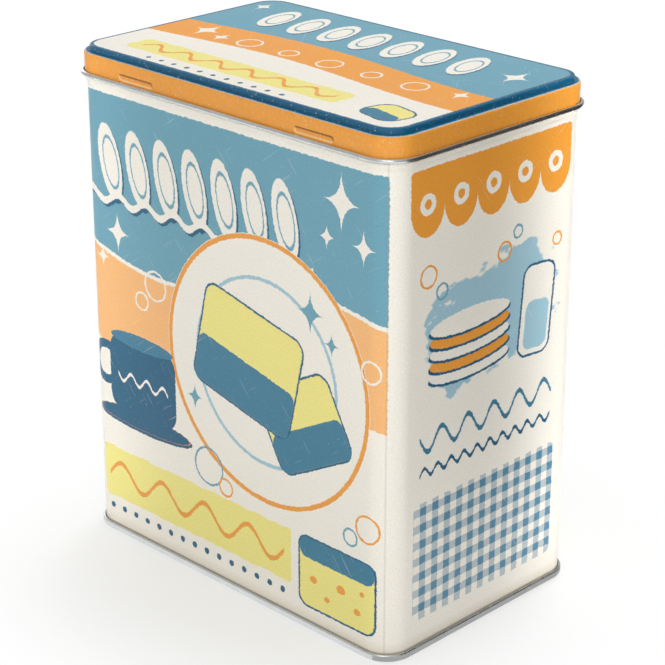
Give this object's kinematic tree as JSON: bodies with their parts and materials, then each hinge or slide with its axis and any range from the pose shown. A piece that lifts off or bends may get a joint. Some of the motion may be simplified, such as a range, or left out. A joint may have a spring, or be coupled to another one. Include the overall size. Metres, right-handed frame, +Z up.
{
  "type": "storage tin",
  "caption": "Rectangular storage tin of printed tinplate with rounded corners, a lift-off lid with a raised top and a rolled rim, and a double-seamed base.",
  "frame": {"origin": "middle of the plane that the tin stands on, under its centre", "axes": "+Z up, +X along the wide front to the right as seen from the front, the wide front faces -Y"},
  "size_m": [0.1442, 0.0922, 0.171],
  "materials": {
    "body_print": "satin litho print on tinplate",
    "lid_print": "satin litho print on tinplate",
    "bare_tinplate": "bright bare tinplate"
  },
  "bodies": {
    "tin": {"body": "body_print", "base": "bare_tinplate"},
    "lid": {"lid": "lid_print"}
  },
  "joints": [
    {"name": "lid_lift", "type": "slide", "parent": "tin", "child": "lid", "axis": [0, 0, 1], "range_m": [0, 0.06]}
  ]
}
